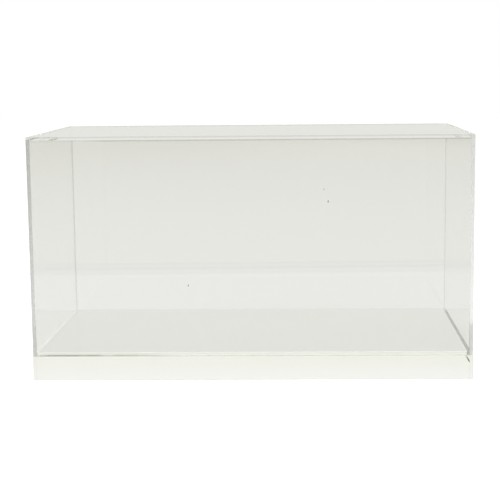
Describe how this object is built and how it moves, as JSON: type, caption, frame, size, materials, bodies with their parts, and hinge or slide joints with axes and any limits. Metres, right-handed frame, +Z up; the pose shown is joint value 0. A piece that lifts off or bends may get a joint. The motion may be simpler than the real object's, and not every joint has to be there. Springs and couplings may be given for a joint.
{
  "type": "display case",
  "caption": "Rectangular clear display case: an open-bottomed lift-off cover of clear sheet over a raised floor on a low white plinth.",
  "frame": {"origin": "on the surface the plinth stands on, below the middle of the plinth", "axes": "+X to the right along the long side, +Y to the back, +Z up"},
  "size_m": [0.401, 0.201, 0.222],
  "materials": {
    "clear_sheet": "clear polished sheet",
    "platform_sheet": "glossy white sheet",
    "plinth_panel": "glossy white sheet",
    "plinth_support": "sawn white sheet"
  },
  "bodies": {
    "plinth": {"platform": "platform_sheet", "deck": "plinth_panel", "skirt_front": "plinth_panel", "skirt_back": "plinth_panel", "skirt_left": "plinth_panel", "skirt_right": "plinth_panel", "centre_rib": "plinth_support", "corner_block_front_left": "plinth_support", "corner_block_front_right": "plinth_support", "corner_block_back_left": "plinth_support", "corner_block_back_right": "plinth_support"},
    "cover": {"cover_top": "clear_sheet", "cover_front": "clear_sheet", "cover_back": "clear_sheet", "cover_left": "clear_sheet", "cover_right": "clear_sheet"}
  },
  "joints": [
    {"name": "cover_lift", "type": "slide", "parent": "plinth", "child": "cover", "axis": [0, 0, 1], "range_m": [0, 0.215]}
  ]
}
